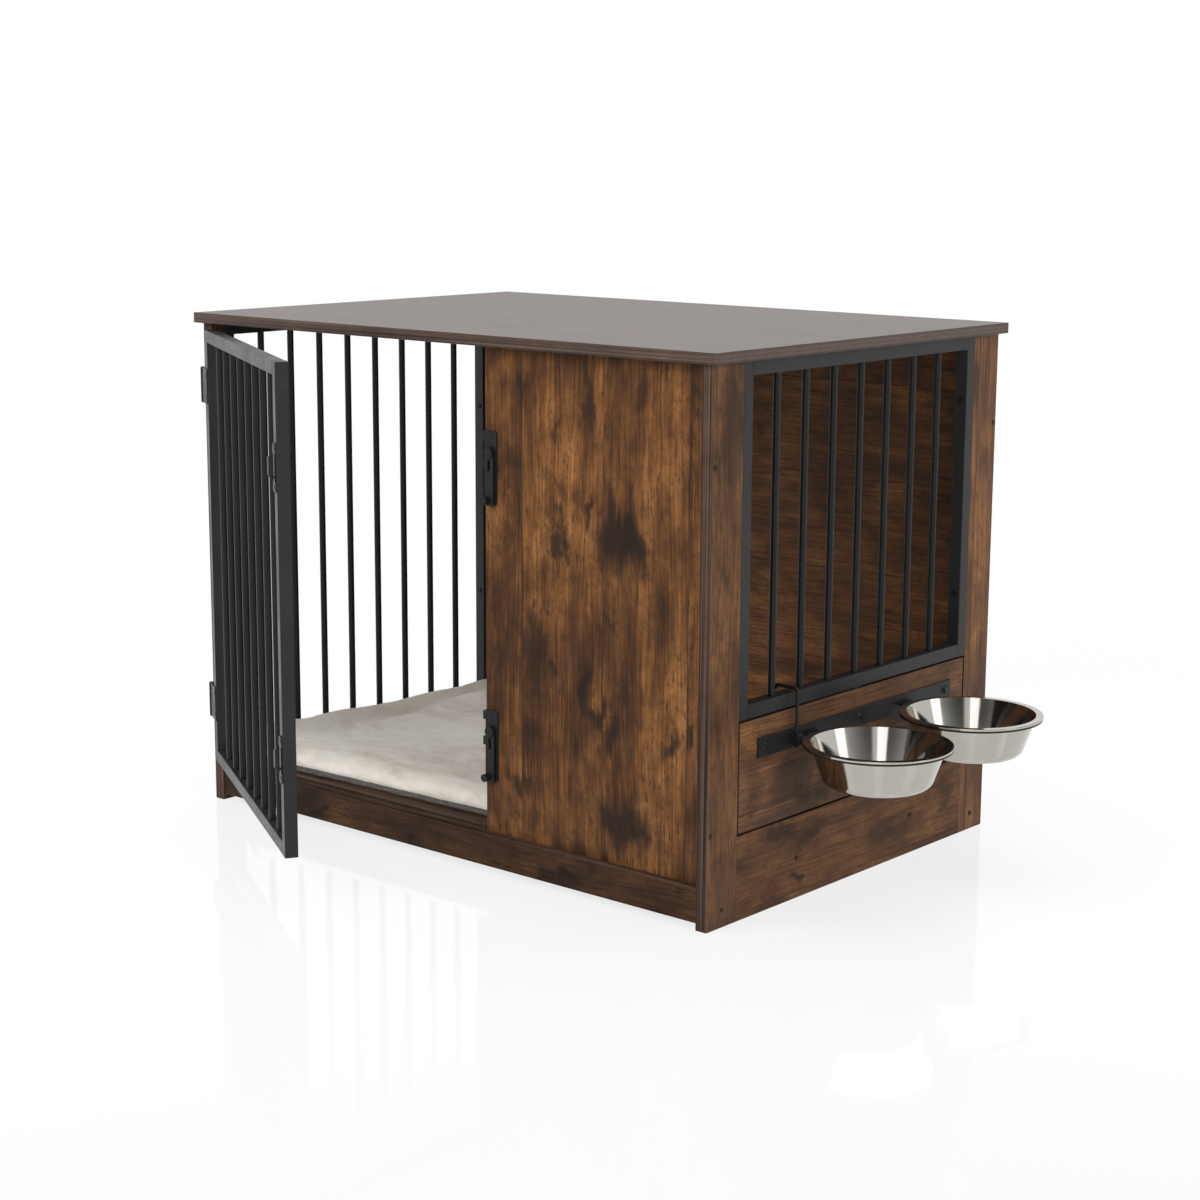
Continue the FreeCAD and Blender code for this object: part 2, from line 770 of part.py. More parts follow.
def make_keeper(label, height):
    """A strap on the door's free stile with a tongue that holds the latch arm."""
    keeper = new_body(label)
    tab = size.keeper_tab_width / 2
    strap = size.keeper_strap_width / 2
    end = size.keeper_half_height
    neck = end - size.keeper_tab_height
    plate = sketch_on(keeper, f"{label}_outline", "XZ_Plane")
    draw_outline(plate, [
        (-tab, -end), (tab, -end), (tab, -neck), (strap, -neck), (strap, neck), (tab, neck),
        (tab, end), (-tab, end), (-tab, neck), (-strap, neck), (-strap, -neck), (-tab, -neck),
    ])
    pad(keeper, f"{label}_strap", plate, size.keeper_thick)
    corners = runs_along(Vector(0, 1, 0))
    tab_ends = lambda edge: corners(edge) and abs(edge.Vertexes[0].Z) > neck.value + TOLERANCE
    round_edges(keeper, f"{label}_corners", size.keeper_round, tab_ends)
    outside = -size.tongue_standoff
    inside = outside + size.tongue_thick
    root = -size.keeper_thick / 2
    low = -size.tongue_drop
    side = sketch_on(keeper, f"{label}_tongue_side", "YZ_Plane")
    draw_outline(side, [
        (root, low),
        (outside + size.tongue_bend, low),
        (outside, low + size.tongue_bend),
        (outside, size.tongue_rise),
        (inside, size.tongue_rise),
        (inside, low + size.tongue_bend + size.tongue_thick / 2),
        (outside + size.tongue_bend + size.tongue_thick / 2, low + size.tongue_thick),
        (root, low + size.tongue_thick),
    ])
    pad(keeper, f"{label}_tongue", side, size.tongue_width, both_ways=True)
    on_door(keeper, keeper_across, size.door_face_back, height)


# Hinges

def make_post_leaf(label, z):
    leaf = new_body(label)
    start = size.barrel_radius + size.knuckle_gap
    inner = size.axis_out - size.leaf_thick
    end_height = size.hinge_height / 3 - size.knuckle_gap / 2
    plate_width = size.post_leaf_width - start
    plate = (size.leaf_thick, plate_width, size.hinge_height)
    body_box(leaf, f"{label}_plate", plate, (inner, start, zero))
    upper = size.hinge_height - end_height
    for end, low in (("low", zero), ("high", upper)):
        body_box(leaf, f"{label}_neck_{end}", (size.leaf_thick, start, end_height), (inner, zero, low))
        body_cylinder(leaf, f"{label}_knuckle_{end}", size.barrel_radius, end_height, (zero, zero, low))
    bore = size.hinge_pin_radius + size.hinge_pin_gap
    body_cylinder(leaf, f"{label}_bore", bore, size.hinge_height, kind="Subtractive")
    on_carcass(leaf, axis_x, axis_y, z)


def make_door_leaf(label, z):
    leaf = new_body(label)
    start = size.barrel_radius + size.knuckle_gap
    front = size.door_face_back - size.leaf_thick
    plate_width = size.door_edge_out + size.door_leaf_grip - start
    plate = (plate_width, size.leaf_thick, size.hinge_height)
    body_box(leaf, f"{label}_plate", plate, (start, front, zero))
    height = size.hinge_height / 3 - size.knuckle_gap
    middle_low = (size.hinge_height - height) / 2
    body_box(leaf, f"{label}_neck", (start, size.leaf_thick, height), (zero, front, middle_low))
    body_cylinder(leaf, f"{label}_knuckle", size.barrel_radius, height, (zero, zero, middle_low))
    bore = size.hinge_pin_radius + size.hinge_pin_gap
    body_cylinder(leaf, f"{label}_bore", bore, size.hinge_height, kind="Subtractive")
    on_door(leaf, zero, zero, z)


def make_hinge_pin(label, z):
    pin = new_body(label)
    head = size.hinge_head_height
    body_cylinder(pin, f"{label}_shaft", size.hinge_pin_radius, size.hinge_height)
    body_cylinder(pin, f"{label}_foot", size.hinge_head_radius, head, (zero, zero, -head))
    body_cylinder(pin, f"{label}_head", size.hinge_head_radius, head, (zero, zero, size.hinge_height))
    on_carcass(pin, axis_x, axis_y, z)


# Latches

def make_latch_plate(label, z):
    plate = new_body(label)
    left = -size.latch_pivot_inset
    right = left + size.latch_plate_width
    ear = left - size.latch_ear_out
    low = -size.latch_plate_drop
    high = size.latch_plate_rise
    upper_ear_top = size.latch_upper_ear + size.latch_ear_height
    lower_ear_top = size.latch_lower_ear + size.latch_ear_height
    outline = sketch_on(plate, f"{label}_outline", "XZ_Plane")
    draw_outline(outline, [
        (left, low), (right, low), (right, high), (left, high),
        (left, upper_ear_top), (ear, upper_ear_top),
        (ear, size.latch_upper_ear), (left, size.latch_upper_ear),
        (left, lower_ear_top), (ear, lower_ear_top),
        (ear, size.latch_lower_ear), (left, size.latch_lower_ear),
    ])
    pad(plate, f"{label}_pad", outline, size.latch_plate_thick)
    across = runs_along(Vector(0, 1, 0))
    right_side = lambda edge: across(edge) and abs(edge.Vertexes[0].X - right.value) < TOLERANCE
    round_edges(plate, f"{label}_corners", size.latch_plate_round, right_side)
    on_carcass(plate, latch_x, panel_front, z)


def make_latch_rivet(label, z):
    rivet = new_body(label)
    reach = size.arm_gap + size.arm_thick + size.running_gap
    body_cylinder(rivet, f"{label}_shaft", size.rivet_radius, reach, turn=FORWARDS)
    base = (zero, -reach, zero)
    radius = size.rivet_head_radius
    body_cylinder(rivet, f"{label}_head", radius, size.rivet_head_thick, base, turn=FORWARDS)
    on_carcass(rivet, latch_x, panel_front - size.latch_plate_thick, z)


def make_latch_arm(label, z):
    """A flat arm that hangs from its rivet, slotted below it, with a round knob at its foot."""
    arm = new_body(label)
    half = size.arm_width / 2
    slot = size.arm_slot_width / 2
    outline = sketch_on(arm, f"{label}_outline", "XZ_Plane")
    draw_outline(outline, [(-half, -size.arm_drop), (half, -size.arm_drop), (half, half), (-half, half)])
    draw_outline(outline, [
        (-slot, -size.arm_slot_end), (slot, -size.arm_slot_end),
        (slot, -size.arm_slot_start), (-slot, -size.arm_slot_start),
    ])
    draw_circle(outline, zero, zero, size.rivet_radius + size.running_gap)
    pad(arm, f"{label}_pad", outline, size.arm_thick)
    across = runs_along(Vector(0, 1, 0))
    shoulders = lambda edge: across(edge) and edge.Vertexes[0].Z > 0
    round_edges(arm, f"{label}_shoulders", half - size.running_gap, shoulders)
    feet = lambda edge: across(edge) and edge.Vertexes[0].Z < TOLERANCE - size.arm_drop.value
    round_edges(arm, f"{label}_feet", size.arm_end_round, feet)
    in_slot = lambda edge: across(edge) and abs(edge.Vertexes[0].X) < slot.value + TOLERANCE
    round_edges(arm, f"{label}_slot", size.arm_slot_round, in_slot)
    knob_base = (-size.knob_aside, -size.arm_thick / 2, -size.knob_drop)
    knob_length = size.arm_thick / 2 + size.knob_proud
    body_cylinder(arm, f"{label}_knob", size.knob_radius, knob_length, knob_base, turn=FORWARDS)
    on_carcass(arm, latch_x, arm_back, z)


# Screw heads of the hinges, latches and keepers

def screw(name, x, y, z, turn):
    return cylinder(name, size.screw_radius, size.screw_height, x, y, z, turn)


def make_fitting_screws():
    pieces = []
    leaf_middle = axis_y + (size.barrel_radius + size.post_leaf_width) / 2
    plate_front = panel_front - size.latch_plate_thick
    for level, hinge, latch in LEVELS:
        for number, rise in enumerate(leaf_screw_rises):
            name = f"post_leaf_screw_{level}_{number}"
            pieces.append(screw(name, -size.leaf_thick, leaf_middle, hinge + rise, LEFTWARDS))
        rise = latch + size.latch_screw_rise
        pieces.append(screw(f"latch_screw_{level}", latch_x, plate_front, rise, FORWARDS))
    on_carcass(group("fitting_screws", pieces))


def make_door_screws():
    pieces = []
    leaf_front = size.door_face_back - size.leaf_thick
    leaf_across = size.door_edge_out + size.door_leaf_grip / 2
    keeper_front = size.door_face_back - size.keeper_thick
    tab_middle = size.keeper_half_height - size.keeper_tab_height / 2
    for level, hinge, latch in LEVELS:
        for number, rise in enumerate(leaf_screw_rises):
            name = f"door_leaf_screw_{level}_{number}"
            pieces.append(screw(name, leaf_across, leaf_front, hinge + rise, FORWARDS))
        for number, rise in enumerate((-tab_middle, tab_middle)):
            name = f"keeper_screw_{level}_{number}"
            pieces.append(screw(name, keeper_across, keeper_front, latch + rise, FORWARDS))
    on_door(group("door_screws", pieces))


# Mat

def mat_outline(inset, z):
    """A rounded outline at one height of the mat, askew at the front, with its sides drawn in to a waist."""
    low_x = floor_left.value + size.mat_side_gap.value + inset
    high_x = right_inner.value - size.mat_side_gap.value - inset
    left_y = panel_front.value + size.mat_front_gap.value + inset
    right_y = left_y + size.mat_front_skew.value
    high_y = rear_panel_front.value - size.mat_rear_gap.value - inset
    corner = size.mat_corner.value
    waist = size.mat_waist.value
    front_waist = size.mat_front_waist.value
    middle_x = (low_x + high_x) / 2
    front_y = (left_y + right_y) / 2
    middle_y = (front_y + high_y) / 2
    rounding = corner - corner * math.sqrt(2) / 2
    sides = (
        ((low_x + corner, left_y), (middle_x, front_y + front_waist), (high_x - corner, right_y)),
        ((high_x - corner, right_y), (high_x - rounding, right_y + rounding), (high_x, right_y + corner)),
        ((high_x, right_y + corner), (high_x - waist, middle_y), (high_x, high_y - corner)),
        ((high_x, high_y - corner), (high_x - rounding, high_y - rounding), (high_x - corner, high_y)),
        ((high_x - corner, high_y), (middle_x, high_y - waist), (low_x + corner, high_y)),
        ((low_x + corner, high_y), (low_x + rounding, high_y - rounding), (low_x, high_y - corner)),
        ((low_x, high_y - corner), (low_x + waist, middle_y), (low_x, left_y + corner)),
        ((low_x, left_y + corner), (low_x + rounding, left_y + rounding), (low_x + corner, left_y)),
    )
    return Part.Wire([Part.Arc(*(Vector(x, y, z) for x, y in side)).toShape() for side in sides])


def make_mat():
    """A soft pad whose edge rolls in above and below."""
    height = size.mat_height.value
    shares = zip(MAT_HEIGHT_SHARES, MAT_INSET_SHARES)
    outlines = [mat_outline(height * inset, height * rise) for rise, inset in shares]
    mat = doc.addObject("Part::Feature", "mat")
    mat.Shape = Part.makeLoft(outlines, True, True)
    on_carcass(mat, zero, zero, size.floor_top + size.running_gap)


def build():
    make_top()
    make_posts()
    make_rails()
    make_panels()
    make_floor_panel()
    make_cleats()
    make_top_blocks()
    make_hole_caps()
    make_grille("left", zero, size.hinge_post_width, rail_top, size.left_bar_count)
    make_grille("right", right_grille_left, size.post_width, size.right_grille_low, size.right_bar_count)
    make_grille_screws()
    make_feeder_panel()
    make_feeder_pivots()
    make_feeder_bar()
    half_spacing = size.bowl_spacing / 2
    for end, y in (("front", feeder_y - half_spacing), ("rear", feeder_y + half_spacing)):
        make_bowl_ring(f"bowl_ring_{end}", y)
        make_bowl(f"bowl_{end}", y)
    make_hook_guide()
    make_wire_hook()
    make_door_frame()
    for level, hinge, latch in LEVELS:
        make_post_leaf(f"hinge_post_leaf_{level}", hinge)
        make_door_leaf(f"hinge_door_leaf_{level}", hinge)
        make_hinge_pin(f"hinge_pin_{level}", hinge)
        make_latch_plate(f"latch_plate_{level}", latch)
        make_latch_rivet(f"latch_rivet_{level}", latch)
        make_latch_arm(f"latch_arm_{level}", latch)
        make_keeper(f"keeper_{level}", latch)
    make_fitting_screws()
    make_door_screws()
    make_mat()


def check_and_write():
    """Stops on a failed feature or a bad shape, then writes one file for each sub-part."""
    doc.recompute()
    failed = [piece.Label for piece in doc.Objects if {"Invalid", "Error"} & set(piece.State)]
    if failed:
        raise RuntimeError(f"failed features: {failed}")
    bad = [piece.Label for piece in sub_parts if piece.Shape.isNull() or not piece.Shape.isValid()]
    if bad:
        raise RuntimeError(f"bad shapes: {bad}")
    os.makedirs("parts", exist_ok=True)
    for piece in sub_parts:
        piece.Shape.exportStep(f"parts/{piece.Label}.step")
    print(len(sub_parts), "sub-parts written")


build()
check_and_write()
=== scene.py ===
import math

import bmesh
import bpy
from mathutils import Matrix, Vector, noise


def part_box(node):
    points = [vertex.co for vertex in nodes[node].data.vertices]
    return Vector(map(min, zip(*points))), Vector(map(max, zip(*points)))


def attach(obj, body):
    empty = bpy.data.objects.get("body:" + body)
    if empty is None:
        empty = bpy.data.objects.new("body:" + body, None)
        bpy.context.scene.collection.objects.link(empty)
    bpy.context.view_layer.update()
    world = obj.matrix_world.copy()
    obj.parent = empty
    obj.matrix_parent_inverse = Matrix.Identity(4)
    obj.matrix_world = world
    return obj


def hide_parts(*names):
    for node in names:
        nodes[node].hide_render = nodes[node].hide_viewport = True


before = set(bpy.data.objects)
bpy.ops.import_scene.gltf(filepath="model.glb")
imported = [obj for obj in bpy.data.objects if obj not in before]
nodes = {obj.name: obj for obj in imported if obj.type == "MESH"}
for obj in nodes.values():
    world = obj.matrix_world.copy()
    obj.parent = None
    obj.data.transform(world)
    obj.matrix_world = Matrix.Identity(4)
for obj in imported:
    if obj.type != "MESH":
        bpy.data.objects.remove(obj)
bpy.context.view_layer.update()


# Materials

class Graph:
    """Builds the nodes of one material around a Principled shader."""

    def __init__(self, name):
        self.material = bpy.data.materials.new(name)
        self.material.use_nodes = True
        self.tree = self.material.node_tree
        self.tree.nodes.clear()
        self.shader = self.add("ShaderNodeBsdfPrincipled")
        output = self.add("ShaderNodeOutputMaterial")
        self.tree.links.new(self.shader.outputs["BSDF"], output.inputs["Surface"])

    def add(self, kind, **settings):
        made = self.tree.nodes.new(kind)
        for name, value in settings.items():
            setattr(made, name, value)
        return made

    def feed(self, socket, value):
        """Links an output to a socket, or sets the socket's own value."""
        if isinstance(value, bpy.types.NodeSocket):
            self.tree.links.new(value, socket)
        else:
            socket.default_value = value

    def place(self):
        """Coordinates of the piece in metres."""
        return self.add("ShaderNodeTexCoord").outputs["Object"]

    def facing(self):
        """Direction of the surface in the piece's own frame."""
        return self.add("ShaderNodeTexCoord").outputs["Normal"]

    def split(self, vector):
        made = self.add("ShaderNodeSeparateXYZ")
        self.feed(made.inputs[0], vector)
        return made.outputs

    def join(self, x, y, z):
        made = self.add("ShaderNodeCombineXYZ")
        for socket, value in zip(made.inputs, (x, y, z)):
            self.feed(socket, value)
        return made.outputs[0]

    def math(self, operation, first, second=0.0, third=0.0):
        made = self.add("ShaderNodeMath", operation=operation)
        for socket, value in zip(made.inputs, (first, second, third)):
            self.feed(socket, value)
        return made.outputs[0]

    def nudge(self, value, cause, reach):
        """The value, moved by a share of its cause."""
        return self.math("ADD", value, self.math("MULTIPLY", cause, reach))

    def weigh(self, *parts):
        """The sum of values, each with its weight."""
        weighed = [self.math("MULTIPLY", value, weight) for value, weight in parts]
        total = weighed[0]
        for part in weighed[1:]:
            total = self.math("ADD", total, part)
        return total

    def length(self, vector):
        made = self.add("ShaderNodeVectorMath", operation="LENGTH")
        self.feed(made.inputs[0], vector)
        return made.outputs["Value"]

    def stretch(self, vector, scale, offset=(0, 0, 0)):
        made = self.add("ShaderNodeMapping")
        self.feed(made.inputs["Vector"], vector)
        made.inputs["Scale"].default_value = scale
        made.inputs["Location"].default_value = offset
        return made.outputs[0]

    def noise(self, vector, scale=1.0, detail=3.0, roughness=0.55, distortion=0.0):
        made = self.add("ShaderNodeTexNoise")
        self.feed(made.inputs["Vector"], vector)
        settings = {"Scale": scale, "Detail": detail, "Roughness": roughness, "Distortion": distortion}
        for name, value in settings.items():
            made.inputs[name].default_value = value
        return made.outputs["Fac"]

    def ramp(self, value, low, high, start=0.0, end=1.0, smooth=True):
        """Maps low..high to start..end and holds it there outside."""
        made = self.add("ShaderNodeMapRange", interpolation_type="SMOOTHSTEP" if smooth else "LINEAR")
        numbers = {"Value": value, "From Min": low, "From Max": high, "To Min": start, "To Max": end}
        for name, number in numbers.items():
            self.feed(made.inputs[name], number)
        return made.outputs["Result"]

    def colours(self, value, stops):
        made = self.add("ShaderNodeValToRGB")
        self.feed(made.inputs["Fac"], value)
        band = made.color_ramp
        while len(band.elements) < len(stops):
            band.elements.new(0.5)
        for element, (position, colour) in zip(band.elements, stops):
            element.position = position
            element.color = (*colour, 1)
        return made.outputs["Color"]

    def mix(self, share, first, second, blend="MIX"):
        made = self.add("ShaderNodeMix", data_type="RGBA", blend_type=blend)
        first_colour, second_colour, result = made.inputs[6], made.inputs[7], made.outputs[2]
        for socket, value in ((made.inputs["Factor"], share), (first_colour, first), (second_colour, second)):
            self.feed(socket, (*value, 1) if isinstance(value, tuple) else value)
        return result

    def bump(self, height, strength, distance):
        made = self.add("ShaderNodeBump")
        made.inputs["Strength"].default_value = strength
        made.inputs["Distance"].default_value = distance
        self.feed(made.inputs["Height"], height)
        self.feed(self.shader.inputs["Normal"], made.outputs["Normal"])

    def finish(self, **values):
        """Sets or links the shader's sockets by name."""
        for name, value in values.items():
            self.feed(self.shader.inputs[name.replace("_", " ")], value)
        return self.material


AXES = "xyz"
MAT_LOW, MAT_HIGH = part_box("mat")
PLANKS_PER_METRE = 7.0
PLANK_SHIFT = 1.7
SEED_SHIFT = (1.37, 0.83, 2.11)
SMOKE_AND_SHADE, CRACK, SEAM = (0.020, 0.0130, 0.0100), (0.014, 0.010, 0.008), (0.022, 0.013, 0.009)


def rustic_wood(name, grain, thin, seed, tone, stain, grey, coat, marks=()):
    """Wood-look laminate: planks of brown grain with smoky stains on the faces, ruled bands on the edges and a
    painted highlight along the rounded edges; the grey share is partly painted sheen, and one feeder-panel mark is
    partly painted shadow of the bowls.
    """
    g = Graph(name)
    position = g.split(g.stretch(g.place(), (1, 1, 1), tuple(seed * step for step in SEED_SHIFT)))
    grain_axis, thin_axis = AXES.index(grain), AXES.index(thin)
    cross_axis = 3 - grain_axis - thin_axis
    along, thickness, across = position[grain_axis], position[thin_axis], position[cross_axis]

    # Planks printed side by side, each with its own stretch of grain
    plank_count = g.math("MULTIPLY", across, PLANKS_PER_METRE)
    chance = g.add("ShaderNodeTexWhiteNoise", noise_dimensions="1D")
    g.feed(chance.inputs["W"], g.math("ADD", g.math("FLOOR", plank_count), seed * PLANKS_PER_METRE))
    luck = chance.outputs["Value"]
    seam = g.ramp(g.math("ABSOLUTE", g.math("SUBTRACT", g.math("FRACT", plank_count), 0.5)), 0.488, 0.498)
    shifted = g.nudge(along, luck, PLANK_SHIFT)
    flat = g.join(across, shifted, 0.0)

    # Nearly straight grain in fine and broad streaks over soft clouds of light and dark
    wander = g.noise(g.stretch(flat, (7, 2.2, 1)), detail=2.0)
    bent = g.join(g.nudge(across, wander, 0.028), shifted, 0.0)
    broad = g.noise(g.stretch(bent, (36, 3.4, 1)), detail=4.0, roughness=0.6)
    fine = g.noise(g.stretch(bent, (310, 8, 1)), detail=3.0, roughness=0.7)
    patches = g.noise(g.stretch(flat, (6.5, 4.4, 1), (3, 1, 0)), detail=4.0, roughness=0.6, distortion=0.6)
    clouds = g.noise(g.stretch(bent, (25, 15, 1), (1, 4, 0)), detail=4.0, roughness=0.65)
    mottle = g.noise(g.stretch(bent, (95, 60, 1)), detail=3.0, roughness=0.7)
    body = g.colours(g.weigh((broad, 0.34), (patches, 0.40), (clouds, 0.26)), (
        (0.38, (0.042, 0.0205, 0.0110)),
        (0.45, (0.080, 0.0345, 0.0150)),
        (0.50, (0.130, 0.0550, 0.0205)),
        (0.55, (0.200, 0.0860, 0.0290)),
        (0.63, (0.300, 0.1380, 0.0480)),
    ))
    body = g.mix(g.ramp(luck, 0.0, 1.0, 0.0, 0.28, smooth=False), body, (0.080, 0.036, 0.018))
    streak = g.colours(fine, (
        (0.34, (0.50, 0.47, 0.44)),
        (0.46, (0.84, 0.82, 0.80)),
        (0.56, (1.07, 1.06, 1.04)),
        (0.68, (1.42, 1.36, 1.26)),
    ))
    body = g.mix(g.ramp(mottle, 0.50, 0.66, 0.0, 0.45), body, (0.052, 0.027, 0.016))
    # A flat greyish-brown share: partly a duller print, partly painted sheen where reflected light greys the
    # boards.
    body = g.mix(grey, body, (0.098, 0.060, 0.043))
    body = g.mix(0.9, body, streak, "MULTIPLY")

    # Smoky stains, a few small knots and short cracks in the paler parts; on the feeder panel the largest listed
    # mark is partly painted shadow of the bowls
    frayed = g.join(g.nudge(across, fine, 0.010), g.nudge(shifted, broad, 0.06), 0.0)
    haze = g.noise(g.stretch(frayed, (8.5, 5.6, 1), (5, 2, 0)), detail=3.5, roughness=0.58, distortion=0.7)
    spots = g.noise(g.stretch(frayed, (24, 12, 1), (2, 7, 0)), detail=2.0, roughness=0.5, distortion=0.3)
    smoke, knots = g.ramp(haze, 0.535, 0.67), g.ramp(spots, 0.62, 0.74)
    stains_and_shade = g.math("MULTIPLY", g.math("MAXIMUM", smoke, g.math("MULTIPLY", knots, 0.85)), 0.92 * stain)
    if marks:
        plain = g.split(g.place())
        torn = g.noise(g.stretch(flat, (17, 10, 1), (9, 3, 0)), detail=3.0, roughness=0.6)
        swings = [g.math("SUBTRACT", value, 0.5) for value in (clouds, torn, broad)]
        drift = g.weigh((swings[0], 0.05), (swings[1], 0.13))
        side = g.math("ADD", plain[cross_axis], drift)
        ragged = g.join(side, g.nudge(plain[grain_axis], swings[2], 0.13), 0.0)
        for middle, height, half_width, half_height, strength in marks:
            scale = (1 / half_width, 1 / half_height, 1)
            away = g.length(g.stretch(ragged, scale, (-middle * scale[0], -height * scale[1], 0)))
            stains_and_shade = g.math("MAXIMUM", stains_and_shade, g.ramp(away, 1.5, 0.4, 0.0, strength))
    # Stain colour; on the feeder panel's largest mark it also paints the shadow of the bowls.
    body = g.mix(stains_and_shade, body, SMOKE_AND_SHADE)
    checks = g.ramp(g.noise(g.stretch(bent, (230, 40, 1)), detail=3.0, roughness=0.7), 0.57, 0.615)
    cracked = g.math("MULTIPLY", checks, g.ramp(patches, 0.48, 0.60))
    body = g.mix(g.math("MULTIPLY", cracked, 0.8 * stain), body, CRACK)
    body = g.mix(g.math("MULTIPLY", seam, g.ramp(clouds, 0.42, 0.55, 0.15, 0.65)), body, SEAM)
    body = g.mix(1.0, body, (tone, tone, tone), "MULTIPLY")

    # Edge bands ruled along the board
    ruled = g.join(thickness, g.math("MULTIPLY", along, 0.004), 0.0)
    rules = g.noise(g.stretch(ruled, (330, 330, 1)), detail=2.0, roughness=0.7)
    edge = g.colours(rules, (
        (0.36, (0.018, 0.0115, 0.0090)),
        (0.50, (0.056, 0.034, 0.0250)),
        (0.64, (0.108, 0.066, 0.0480)),
    ))
    edge = g.mix(0.5, edge, streak, "MULTIPLY")
    turned = g.math("ABSOLUTE", g.split(g.facing())[thin_axis])
    on_face = g.ramp(turned, 0.55, 0.75)
    colour = g.mix(on_face, edge, body)
    # Painted highlight: a lighter line on the rounded edges between face and edge band, where light catches them.
    edge_highlight = g.math("MULTIPLY", g.ramp(turned, 0.70, 0.93), g.ramp(turned, 0.999, 0.96))
    colour = g.mix(g.math("MULTIPLY", edge_highlight, 0.5), colour, (0.21, 0.135, 0.088))

    g.bump(g.noise(g.stretch(flat, (260, 20, 1)), detail=2.0), 0.3, 0.0006)
    gloss = g.ramp(g.weigh((fine, 0.5), (stains_and_shade, 0.25)), 0.15, 0.65, 0.42, 0.58)
    return g.finish(Base_Color=colour, Roughness=gloss, Specular_IOR_Level=0.10,
                    Coat_Weight=coat, Coat_Roughness=0.26)


def raw_wood(name):
    """Planed softwood of the hidden battens."""
    g = Graph(name)
    place = g.place()
    rings = g.noise(g.stretch(place, (30, 30, 110)), detail=5.0, roughness=0.6)
    pores = g.noise(g.stretch(place, (24, 24, 700)), detail=3.0)
    colour = g.colours(rings, (
        (0.30, (0.31, 0.19, 0.095)),
        (0.50, (0.46, 0.31, 0.17)),
        (0.70, (0.58, 0.42, 0.25)),
    ))
    colour = g.mix(g.ramp(pores, 0.52, 0.70, 0.0, 0.4), colour, (0.22, 0.13, 0.07))
    g.bump(pores, 0.2, 0.0004)
    return g.finish(Base_Color=colour, Roughness=g.ramp(rings, 0.3, 0.7, 0.55, 0.72))


def coated_steel(name, level, rough):
    """Satin black powder coat with a faint orange-peel and a duller film in patches."""
    g = Graph(name)
    place = g.place()
    peel = g.noise(place, scale=900, detail=2.0)
    film = g.noise(place, scale=14, detail=4.0, roughness=0.6)
    dust = g.noise(place, scale=2600, detail=1.0)
    colour = g.colours(film, (
        (0.30, (level * 0.80, level * 0.79, level * 0.80)),
        (0.55, (level, level * 0.98, level * 0.98)),
        (0.75, (level * 1.28, level * 1.24, level * 1.22)),
    ))
    colour = g.mix(g.ramp(dust, 0.60, 0.78, 0.0, 0.25), colour, (level * 2.4, level * 2.3, level * 2.25))
    g.bump(peel, 0.10, 0.0003)
    gloss = g.ramp(film, 0.3, 0.7, rough - 0.05, rough + 0.07)
    return g.finish(Base_Color=colour, Roughness=gloss, Specular_IOR_Level=0.2)


def bright_steel(name, colour_low, colour_high, rough):
    """Plated steel with a fine turned finish."""
    g = Graph(name)
    place = g.place()
    turning = g.noise(g.stretch(place, (500, 500, 4200)), detail=2.0)
    cloud = g.noise(place, scale=35, detail=3.0)
    colour = g.mix(cloud, colour_low, colour_high)
    g.bump(turning, 0.12, 0.0002)
    gloss = g.ramp(turning, 0.3, 0.7, rough - 0.05, rough + 0.08)
    return g.finish(Base_Color=colour, Metallic=1.0, Roughness=gloss)


RINGS_PER_METRE = 1400


def polished_bowl(name, centre):
    """Polished stainless steel with faint spinning marks round the bowl's axis."""
    g = Graph(name)
    x, y, z = g.split(g.place())
    radius = g.length(g.join(g.math("SUBTRACT", x, centre[0]), g.math("SUBTRACT", y, centre[1]), 0.0))
    profile = [g.math("MULTIPLY", value, RINGS_PER_METRE) for value in (radius, z)]
    rings = g.noise(g.join(*profile, 0.0), detail=3.0, roughness=0.7)
    smear = g.noise(g.place(), scale=22, detail=3.0)
    colour = g.mix(smear, (0.42, 0.40, 0.36), (0.525, 0.505, 0.465))
    g.bump(rings, 0.025, 0.0002)
    gloss = g.ramp(g.weigh((rings, 0.5), (smear, 0.5)), 0.3, 0.7, 0.07, 0.15)
    return g.finish(Base_Color=colour, Metallic=1.0, Roughness=gloss)


def cap_plastic(name):
    """Matte brown plastic of the screw caps."""
    g = Graph(name)
    grit = g.noise(g.place(), scale=1500, detail=2.0)
    colour = g.mix(grit, (0.020, 0.012, 0.009), (0.042, 0.025, 0.019))
    g.bump(grit, 0.15, 0.0003)
    gloss = g.ramp(grit, 0.3, 0.7, 0.5, 0.66)
    return g.finish(Base_Color=colour, Roughness=gloss, Specular_IOR_Level=0.12)


